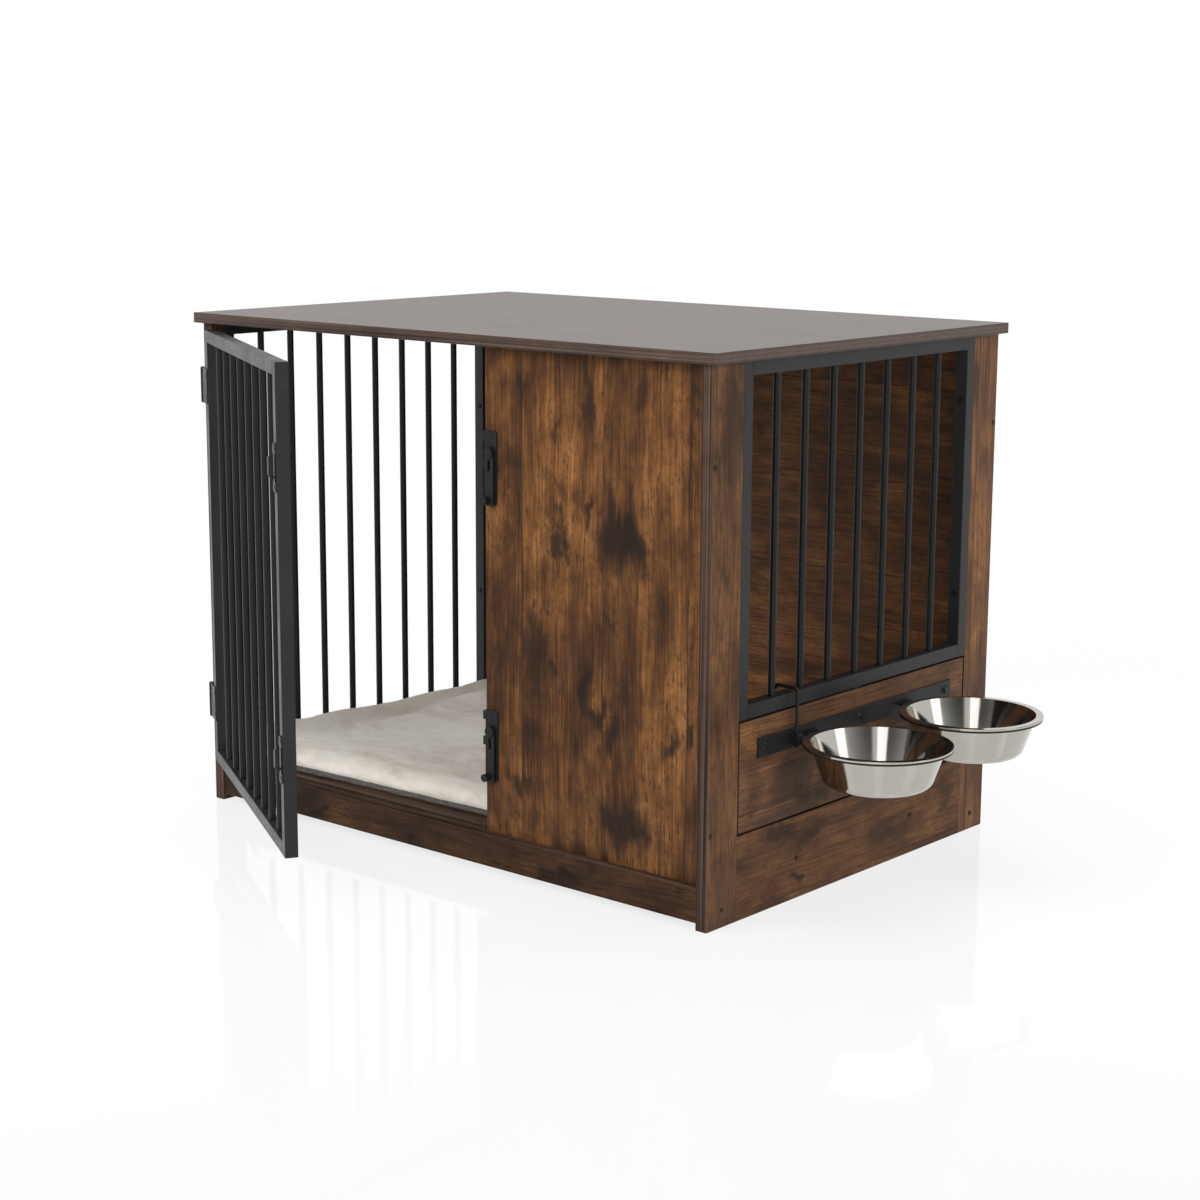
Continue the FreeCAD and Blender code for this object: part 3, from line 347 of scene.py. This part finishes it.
def fleece(name):
    """Short plush pile, brushed in swirls of light and shade, with painted shade on the turned-up strip along the
    left wall.
    """
    g = Graph(name)
    place = g.place()
    swirl = g.noise(g.stretch(place, (5, 7, 5)), detail=4.0, roughness=0.6, distortion=1.2)
    brushed = g.noise(g.stretch(place, (22, 46, 30)), detail=5.0, roughness=0.65, distortion=0.6)
    tufts = g.noise(place, scale=330, detail=4.0, roughness=0.7)
    fibres = g.noise(place, scale=1500, detail=2.0)
    colour = g.colours(g.weigh((swirl, 0.6), (brushed, 0.4)), (
        (0.34, (0.58, 0.525, 0.45)),
        (0.46, (0.73, 0.675, 0.60)),
        (0.56, (0.82, 0.775, 0.705)),
        (0.68, (0.87, 0.835, 0.775)),
    ))
    colour = g.mix(g.ramp(tufts, 0.45, 0.28, 0.0, 0.30), colour, (0.40, 0.365, 0.32))
    # Painted shade: the turned-up strip left of the crease, which faces sideways away from the light, is darkened.
    x, y = g.split(place)[:2]
    crease_front, crease_back = MAT_LOW.y + 0.10, MAT_LOW.y + 0.56
    crease = g.ramp(y, crease_front, crease_back, MAT_LOW.x + 0.057, MAT_LOW.x + 0.036)
    border = g.math("SUBTRACT", x, crease)
    strip = g.math("MULTIPLY", g.ramp(border, 0.006, -0.006), g.ramp(y, crease_front, MAT_LOW.y + 0.24))
    colour = g.mix(g.math("MULTIPLY", strip, 0.55), colour, (0.56, 0.505, 0.425))
    g.bump(g.weigh((tufts, 0.7), (fibres, 0.3), (brushed, 1.4)), 0.55, 0.0022)
    gloss = g.ramp(fibres, 0.3, 0.7, 0.86, 0.97)
    return g.finish(Base_Color=colour, Roughness=gloss, Specular_IOR_Level=0.15,
                    Sheen_Weight=0.25, Sheen_Roughness=0.55, Sheen_Tint=(0.95, 0.92, 0.88, 1))


def base_cloth(name):
    """Dark grey woven cloth of the mat's underside, fuzzy at its edge."""
    g = Graph(name)
    place = g.place()
    warp = g.noise(g.stretch(place, (160, 1100, 700)), detail=2.0)
    weft = g.noise(g.stretch(place, (1100, 160, 700)), detail=2.0)
    fuzz = g.noise(place, scale=210, detail=4.0, roughness=0.7)
    weave = g.math("MAXIMUM", warp, weft)
    colour = g.colours(g.weigh((weave, 0.5), (fuzz, 0.5)), (
        (0.32, (0.040, 0.036, 0.035)),
        (0.52, (0.098, 0.090, 0.087)),
        (0.70, (0.210, 0.195, 0.185)),
    ))
    g.bump(g.math("ADD", weave, fuzz), 0.6, 0.0012)
    gloss = g.ramp(fuzz, 0.3, 0.7, 0.82, 0.95)
    return g.finish(Base_Color=colour, Roughness=gloss, Specular_IOR_Level=0.2)


def dress(names, material):
    """Gives CAD nodes a material in place of the one they came with."""
    for name in names:
        slots = nodes[name].material_slots
        for number in range(len(slots)):
            slots[number].material = material


# Larger stains of some boards, and below the bowls a dark zone on the feeder panel that is partly stain, partly
# painted shadow of the bowls: place across and along the grain, half size across and along in metres, strength
FRONT_MARKS = (
    (0.046, 0.676, 0.012, 0.015, 0.80), (0.158, 0.671, 0.016, 0.040, 0.80), (0.253, 0.690, 0.016, 0.030, 0.65),
    (0.218, 0.489, 0.038, 0.046, 0.95), (0.114, 0.480, 0.010, 0.026, 0.85), (0.153, 0.534, 0.010, 0.028, 0.85),
    (0.080, 0.333, 0.015, 0.040, 0.75), (0.165, 0.272, 0.015, 0.042, 0.90), (0.201, 0.231, 0.018, 0.028, 0.85),
    (0.225, 0.116, 0.042, 0.040, 0.92), (0.312, 0.245, 0.012, 0.030, 0.80), (0.048, 0.144, 0.016, 0.018, 0.75),
)
RAIL_MARKS = (
    (0.027, 0.006, 0.009, 0.016, 0.85), (0.098, -0.040, 0.014, 0.034, 0.75), (0.084, 0.020, 0.014, 0.030, 0.75),
    (0.083, -0.142, 0.013, 0.026, 0.70), (0.085, 0.365, 0.020, 0.020, 0.60),
)
# The feeder panel's first, largest mark lies below the bowls and is partly a stain, partly painted shadow of the
# bowls.
FEEDER_STAINS_AND_SHADE = (
    (0.165, -0.020, 0.022, 0.050, 0.55), (0.140, 0.030, 0.016, 0.040, 0.70), (0.150, -0.100, 0.014, 0.024, 0.60),
)
MARKS = {"front_panel": FRONT_MARKS, "right_rail": RAIL_MARKS, "feeder_panel": FEEDER_STAINS_AND_SHADE}


def dress_boards():
    """Each board's grain, thin direction, seed, tone, strength of stains, share of grey and coat; a low or high
    tone on some boards is painted shade or sheen, and the grey share is partly painted sheen.
    """
    boards = {
        "top_panel": ("x", "z", 1, 0.62, 0.12, 0.82, 0.50),
        "post_front_left": ("z", "x", 2, 0.90, 0.50, 0.25, 0.0),
        "post_front_right": ("z", "x", 3, 1.00, 0.60, 0.28, 0.0),
        "post_rear_left": ("z", "x", 4, 0.90, 0.50, 0.25, 0.0),
        # post_rear_right's high tone and grey share paint the lighter haze of sheen that grazing light lays on it.
        "post_rear_right": ("z", "x", 5, 1.32, 0.45, 0.30, 0.0),
        "front_rail": ("x", "y", 6, 0.40, 0.90, 0.24, 0.0),
        "rear_rail": ("x", "y", 7, 0.90, 0.60, 0.20, 0.0),
        "left_rail": ("y", "x", 8, 0.90, 0.60, 0.20, 0.0),
        "right_rail": ("y", "x", 9, 0.98, 0.30, 0.12, 0.0),
        "front_panel": ("z", "y", 52, 0.89, 0.75, 0.0, 0.0),
        "rear_panel": ("x", "y", 11, 1.22, 0.50, 0.20, 0.0),
        # floor_panel's low tone is painted shade: its top lies in shadow inside the crate.
        "floor_panel": ("x", "z", 12, 0.45, 0.60, 0.30, 0.0),
        "feeder_panel": ("y", "x", 13, 1.18, 0.50, 0.30, 0.0),
    }
    for name, look in boards.items():
        dress([name], rustic_wood(f"rustic_{name}", *look, MARKS.get(name, ())))


def dress_nodes():
    """Gives every CAD node but the mat its material."""
    dress_boards()
    black = coated_steel("black_powder_coat", 0.021, 0.34)
    dark = coated_steel("black_bar_coat", 0.010, 0.30)
    iron = coated_steel("black_iron_fittings", 0.013, 0.36)
    oxide = coated_steel("black_oxide_screws", 0.012, 0.22)
    zinc = bright_steel("zinc_plate", (0.42, 0.42, 0.43), (0.62, 0.62, 0.61), 0.3)
    dress(["floor_cleats", "top_blocks"], raw_wood("raw_batten"))
    dress(["hole_caps"], cap_plastic("screw_cap_plastic"))
    fittings = ("latch_", "keeper_", "hinge_post", "hinge_door", "wire_hook", "hook_guide",
                "feeder_bar", "feeder_pivot", "bowl_ring")
    for name in nodes:
        if name.endswith("_bars"):
            dress([name], dark)
        elif name.startswith(("left_grille", "right_grille", "door_stile", "door_rail")):
            dress([name], black)
        elif name.startswith(fittings):
            dress([name], iron)
        elif name.startswith("hinge_pin"):
            dress([name], zinc)
    dress(["grille_screws", "fitting_screws", "door_screws", "feeder_bolts"], oxide)
    for name in ("bowl_front", "bowl_rear"):
        low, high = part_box(name)
        dress([name], polished_bowl(f"stainless_{name}", (low + high) / 2))


# Mat

BASE_HEIGHT = 0.006
FRONT_SKEW = 0.032
CORNER_RADIUS = 0.045
SWELL_LIMIT = 0.005
SWELL_FRAMES = 20
# Rings of the two pads from below: share of the height, and how far the edge is drawn in there
BASE_RINGS = ((0, 0.001), (0.08, 0.0004), (0.22, 0), (0.45, 0),
              (0.65, 0.0006), (0.82, 0.003), (0.93, 0.006), (1, 0.014))
FLEECE_RINGS = ((0, 0.005), (0.05, 0.001), (0.14, 0), (0.30, 0), (0.54, 0.002),
                (0.75, 0.006), (0.89, 0.014), (0.96, 0.030), (1, 0.10))


def ease(value, low, high):
    """0 below low, 1 above high, smooth between."""
    share = min(1.0, max(0.0, (value - low) / (high - low)))
    return share * share * (3 - 2 * share)


def pad_mesh(name, low, high, rings, waist, step):
    """A closed pad with rounded corners, a front edge that lies askew and sides drawn in between the corners."""
    middle = (low + high) / 2
    half_x, half_y = (high.x - low.x) / 2, (high.y - low.y) / 2
    count_x, count_y = int(2 * half_x / step), int(2 * half_y / step)
    corners = ((-1, -1), (1, -1), (1, 1), (-1, 1))
    outline = []
    for start, end, count in zip(corners, corners[1:] + corners[:1], (count_x, count_y, count_x, count_y)):
        for number in range(count):
            share = number / count
            outline.append((start[0] + (end[0] - start[0]) * share, start[1] + (end[1] - start[1]) * share))
    mesh = bmesh.new()
    loops = []
    for rise, inset in rings:
        loop = []
        for across, back in outline:
            x = across * (half_x - inset)
            y = back * (half_y - inset)
            reach_x, reach_y = half_x - inset - CORNER_RADIUS, half_y - inset - CORNER_RADIUS
            over_x, over_y = max(0, abs(x) - reach_x), max(0, abs(y) - reach_y)
            if over_x and over_y:
                square = max(over_x, over_y)
                length = math.hypot(over_x, over_y)
                x = math.copysign(reach_x + over_x * square / length, x)
                y = math.copysign(reach_y + over_y * square / length, y)
            if y < 0:
                y += FRONT_SKEW * (x / half_x + 1) / 2 * min(1, -y / (half_y * 0.6))
            pull_x = waist * (1 - (y / half_y) ** 2) * abs(x / half_x) ** 3
            pull_y = waist * (1 - (x / half_x) ** 2) * abs(y / half_y) ** 3 * (0.25 if y < 0 else 1)
            x -= math.copysign(pull_x, x)
            y -= math.copysign(pull_y, y)
            loop.append(mesh.verts.new((middle.x + x, middle.y + y, low.z + (high.z - low.z) * rise)))
        loops.append(loop)
    for lower, upper in zip(loops, loops[1:]):
        for number in range(len(outline)):
            following = (number + 1) % len(outline)
            mesh.faces.new((lower[number], lower[following], upper[following], upper[number]))
    mesh.faces.new(list(reversed(loops[0])))
    mesh.faces.new(loops[-1])
    data = bpy.data.meshes.new(name)
    mesh.to_mesh(data)
    mesh.free()
    piece = bpy.data.objects.new(name, data)
    bpy.context.scene.collection.objects.link(piece)
    return piece


def apply_modifier(piece, modifier):
    with bpy.context.temp_override(object=piece, active_object=piece, selected_objects=[piece]):
        bpy.ops.object.modifier_apply(modifier=modifier.name)


def remesh(piece, voxel):
    modifier = piece.modifiers.new("voxels", "REMESH")
    modifier.mode = "VOXEL"
    modifier.voxel_size = voxel
    apply_modifier(piece, modifier)


def smooth(piece, factor, repeats):
    modifier = piece.modifiers.new("smooth", "SMOOTH")
    modifier.factor = factor
    modifier.iterations = repeats
    apply_modifier(piece, modifier)


def top_height(x, y):
    """Height of the fleece's upper side: low folds, and a turned-up strip with a crease along the left wall."""
    left = x - MAT_LOW.x
    front = y - MAT_LOW.y
    back = ease(front, 0.10, 0.56)
    hollow = (1 - ease(left, 0.05, 0.26)) * ease(front, 0.02, 0.22)
    pad = MAT_HIGH.z - 0.003 - 0.008 * hollow - 0.003 * back
    crest = MAT_HIGH.z + 0.0160 - 0.0080 * ease(front, 0.10, 0.30) - 0.0075 * ease(front, 0.24, 0.56)
    crease = 0.070 + 0.006 * math.sin(9 * front) - 0.014 * back
    sharp = ease(front, 0.10, 0.22)
    up = min(1.0, max(0.0, (crease - left) / (crease - 0.022)))
    strip = (1 - (1 - up) ** 2) * sharp + up * up * (3 - 2 * up) * (1 - sharp)
    lip = 0.0055 * math.exp(-((left - crease - 0.013) / 0.011) ** 2)
    trough = 0.0050 * math.exp(-((left - crease + 0.002) / 0.007) ** 2)
    broad_folds = 0.0030 * noise.noise(Vector((x * 4.2, y * 6.5, 3.7)))
    small_folds = 0.0018 * noise.noise(Vector((x * 11, y * 15, 8.1)))
    return pad + (crest - pad) * strip + sharp * (lip - trough) + (broad_folds + small_folds)


def shape_fleece(piece, middle, top):
    """Stretches what lies above the pad's middle to the height of its folds, and presses its left edge upright."""
    for vertex in piece.data.vertices:
        if vertex.co.z > middle:
            rise = top_height(vertex.co.x, vertex.co.y) - middle
            vertex.co.z = middle + (vertex.co.z - middle) * rise / (top - middle)
        left = vertex.co.x - MAT_LOW.x
        vertex.co.x = MAT_LOW.x + left * (0.3 + 0.7 * ease(left, 0.02, 0.09))


def inflate(piece):
    """Lets the cover swell and settle under pressure, and holds each point near where it started."""
    start = [vertex.co.copy() for vertex in piece.data.vertices]
    modifier = piece.modifiers.new("cover", "CLOTH")
    settings = modifier.settings
    settings.quality = 5
    settings.mass = 0.2
    settings.use_pressure = True
    settings.uniform_pressure_force = 4
    settings.tension_stiffness = 12
    settings.compression_stiffness = 12
    settings.bending_stiffness = 0.6
    settings.effector_weights.gravity = 0
    modifier.point_cache.frame_start = 1
    modifier.point_cache.frame_end = SWELL_FRAMES
    scene = bpy.context.scene
    for number in range(1, SWELL_FRAMES + 1):
        scene.frame_set(number)
    settled = piece.evaluated_get(bpy.context.evaluated_depsgraph_get()).to_mesh()
    ends = [vertex.co.copy() for vertex in settled.vertices]
    piece.evaluated_get(bpy.context.evaluated_depsgraph_get()).to_mesh_clear()
    piece.modifiers.remove(modifier)
    scene.frame_set(1)
    for vertex, begin, end in zip(piece.data.vertices, start, ends):
        moved = end - begin
        if moved.length > SWELL_LIMIT:
            moved *= SWELL_LIMIT / moved.length
        vertex.co = begin + moved


def keep_within(piece, low, high):
    for vertex in piece.data.vertices:
        vertex.co = Vector(min(max(value, least), most) for value, least, most in zip(vertex.co, low, high))


def finish_soft(piece, material, levels):
    piece.data.materials.clear()
    piece.data.materials.append(material)
    for face in piece.data.polygons:
        face.use_smooth = True
    if levels:
        modifier = piece.modifiers.new("fine", "SUBSURF")
        modifier.levels = levels
        modifier.render_levels = levels
    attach(piece, "carcass")


def make_mat():
    """The mat as a dark base cloth under a fleece cover."""
    floor = MAT_LOW.z
    base_low = Vector((MAT_LOW.x + 0.003, MAT_LOW.y + 0.0010, floor))
    base_high = Vector((MAT_HIGH.x - 0.003, MAT_HIGH.y - 0.003, floor + BASE_HEIGHT))
    base = pad_mesh("mat_base", base_low, base_high, BASE_RINGS, waist=0.005, step=0.005)
    for vertex in base.data.vertices:
        if vertex.co.y < MAT_LOW.y + 0.06:
            vertex.co.y += 0.0020 * noise.noise(Vector((vertex.co.x * 60, vertex.co.y * 60, 2.3)))
        if vertex.co.z > floor + 0.003:
            vertex.co.z += 0.0012 * noise.noise(Vector((vertex.co.x * 45, vertex.co.y * 45, 7.9)))
    finish_soft(base, base_cloth("mat_base_cloth"), 0)

    low = Vector((MAT_LOW.x + 0.003, MAT_LOW.y + 0.0030, floor + 0.0010))
    high = Vector((MAT_HIGH.x - 0.003, MAT_HIGH.y - 0.004, floor + 0.0300))
    cover = pad_mesh("mat_fleece", low, high, FLEECE_RINGS, waist=0.006, step=0.012)
    remesh(cover, 0.0055)
    smooth(cover, 0.5, 3)
    inflate(cover)
    shape_fleece(cover, floor + 0.010, max(vertex.co.z for vertex in cover.data.vertices) - 0.001)
    smooth(cover, 0.3, 1)
    least = Vector((MAT_LOW.x + 0.001, MAT_LOW.y, floor + 0.001))
    most = Vector((MAT_HIGH.x - 0.001, MAT_HIGH.y - 0.002, MAT_HIGH.z + 0.0095))
    keep_within(cover, least, most)
    finish_soft(cover, fleece("mat_fleece_pile"), 1)
    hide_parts("mat")
    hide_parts("mat")


# Stage

FLOOR_DROP = 0.0005
FADE_START, FADE_END = 1.3, 2.6
PANEL_COUNT = 5.0
FILL_LIGHT = 0.42
PHOTO_PIXELS = 1200
FOCAL_PIXELS = 2362.06
SENSOR_WIDTH = 36
CAMERA_PLACE = (2.15870, -2.47806, 1.00217)


def lamp(name, place, target, width, height, power, mirrored=True):
    """A soft rectangular lamp, which glossy surfaces show only where it is mirrored."""
    data = bpy.data.lights.new(name, "AREA")
    data.shape = "RECTANGLE"
    data.size = width
    data.size_y = height
    data.energy = power
    made = bpy.data.objects.new(name, data)
    bpy.context.scene.collection.objects.link(made)
    made.location = place
    made.rotation_euler = (Vector(target) - Vector(place)).to_track_quat("-Z", "Y").to_euler()
    made.visible_camera = False
    made.visible_glossy = mirrored


def make_floor():
    """A white floor that shows a faint shadow and mirror image of the crate and fades to plain white far off."""
    mesh = bmesh.new()
    bmesh.ops.create_grid(mesh, x_segments=2, y_segments=2, size=30)
    data = bpy.data.meshes.new("floor")
    mesh.to_mesh(data)
    mesh.free()
    floor = bpy.data.objects.new("floor", data)
    bpy.context.scene.collection.objects.link(floor)
    floor.location.z = -FLOOR_DROP
    material = bpy.data.materials.new("white_floor")
    material.use_nodes = True
    tree = material.node_tree
    tree.nodes.clear()

    def add(kind, *sources, **colours):
        made = tree.nodes.new(kind)
        for name, level in colours.items():
            made.inputs[name].default_value = (level, level, level, 1)
        for socket, source in zip(made.inputs, sources):
            tree.links.new(source, socket)
        return made

    path = add("ShaderNodeLightPath").outputs
    passed = add("ShaderNodeMath", path["Is Glossy Ray"], path["Is Transmission Ray"])
    seen = add("ShaderNodeMath", path["Is Camera Ray"], passed.outputs[0])
    passed.operation = seen.operation = "MAXIMUM"
    mirror = add("ShaderNodeBsdfGlossy", Color=0.10)
    mirror.inputs["Roughness"].default_value = 0.04
    shaded = add("ShaderNodeAddShader", add("ShaderNodeBsdfDiffuse", Color=0.14).outputs[0], mirror.outputs[0])
    near = add("ShaderNodeAddShader", shaded.outputs[0], add("ShaderNodeEmission", Color=0.77).outputs[0])
    length = add("ShaderNodeVectorMath", add("ShaderNodeTexCoord").outputs["Object"])
    length.operation = "LENGTH"
    far = add("ShaderNodeMapRange", length.outputs["Value"])
    far.inputs["From Min"].default_value = FADE_START
    far.inputs["From Max"].default_value = FADE_END
    bright = add("ShaderNodeEmission", Color=1.0)
    white = add("ShaderNodeMixShader", far.outputs[0], near.outputs[0], bright.outputs[0])
    plain = add("ShaderNodeBsdfDiffuse", Color=0.80)
    shown = add("ShaderNodeMixShader", seen.outputs[0], plain.outputs[0], white.outputs[0])
    add("ShaderNodeOutputMaterial", shown.outputs[0])
    data.materials.append(material)


def make_world():
    """White to the eye, plain fill light on the crate, and pale and dark studio panels in reflections."""
    world = bpy.data.worlds.new("studio")
    bpy.context.scene.world = world
    world.use_nodes = True
    tree = world.node_tree
    tree.nodes.clear()

    def add(kind, *sources, **settings):
        made = tree.nodes.new(kind)
        for name, value in settings.items():
            setattr(made, name, value)
        for socket, source in zip(made.inputs, sources):
            if isinstance(source, bpy.types.NodeSocket):
                tree.links.new(source, socket)
            else:
                socket.default_value = source
        return made.outputs[0] if made.outputs else None

    path = tree.nodes.new("ShaderNodeLightPath").outputs
    direction = tree.nodes.new("ShaderNodeTexCoord").outputs["Generated"]
    split = tree.nodes.new("ShaderNodeSeparateXYZ")
    tree.links.new(direction, split.inputs[0])
    turn = add("ShaderNodeMath", split.outputs["Y"], split.outputs["X"], operation="ARCTAN2")
    waves = add("ShaderNodeMath", turn, PANEL_COUNT, operation="MULTIPLY")
    panels = add("ShaderNodeMath", waves, operation="SINE")
    panels = add("ShaderNodeMapRange", panels, 0.55, 0.85, 0.04, 0.85)
    low = add("ShaderNodeMapRange", split.outputs["Z"], 0.26, 0.42, 1.0, 0.0)
    level = add("ShaderNodeMath", panels, low, operation="MAXIMUM")
    shiny = add("ShaderNodeBackground", level)
    white = add("ShaderNodeBackground", (1, 1, 1, 1))
    fill = add("ShaderNodeBackground", (1, 1, 1, 1), FILL_LIGHT)
    unseen = add("ShaderNodeMixShader", path["Is Glossy Ray"], fill, shiny)
    direct = add("ShaderNodeMath", path["Is Camera Ray"], path["Is Transmission Ray"], operation="MAXIMUM")
    add("ShaderNodeOutputWorld", add("ShaderNodeMixShader", direct, unseen, white))


def make_lights():
    """Soft key, side and overhead lamps, and two strips that the bowls' walls mirror."""
    middle = (0.0, 0.0, 0.35)
    bowls = (0.49, 0.14, 0.25)
    lamp("key", (-1.2, -3.2, 2.3), middle, 2.2, 1.6, 98, mirrored=False)
    lamp("side", (3.4, -0.6, 1.9), middle, 1.6, 1.6, 40, mirrored=False)
    lamp("overhead", (0.0, 0.2, 3.4), middle, 2.6, 2.2, 60)
    lamp("front_strip", (1.72, -2.49, 1.6), bowls, 0.9, 1.4, 8)
    lamp("right_strip", (3.29, 0.89, 1.6), bowls, 1.0, 1.4, 10)


def make_camera():
    """The photographed view, from a camera fitted to the crate's corners."""
    turn, rise, roll = math.radians(40.62), math.radians(11.08), math.radians(0.29)
    back = Vector((math.sin(turn) * math.cos(rise), -math.cos(turn) * math.cos(rise), math.sin(rise)))
    right = Vector((math.cos(turn), math.sin(turn), 0))
    up = back.cross(right)
    level = right * math.cos(roll) + up * math.sin(roll)
    upright = up * math.cos(roll) - right * math.sin(roll)
    data = bpy.data.cameras.new("camera")
    data.sensor_width = SENSOR_WIDTH
    data.lens = SENSOR_WIDTH * FOCAL_PIXELS / PHOTO_PIXELS
    camera = bpy.data.objects.new("camera", data)
    bpy.context.scene.collection.objects.link(camera)
    turned = Matrix((level, upright, back)).transposed().to_4x4()
    camera.matrix_world = Matrix.Translation(CAMERA_PLACE) @ turned
    bpy.context.scene.camera = camera


make_camera()
dress_nodes()
make_mat()
make_floor()
make_world()
make_lights()
bpy.context.scene.view_settings.view_transform = "Standard"
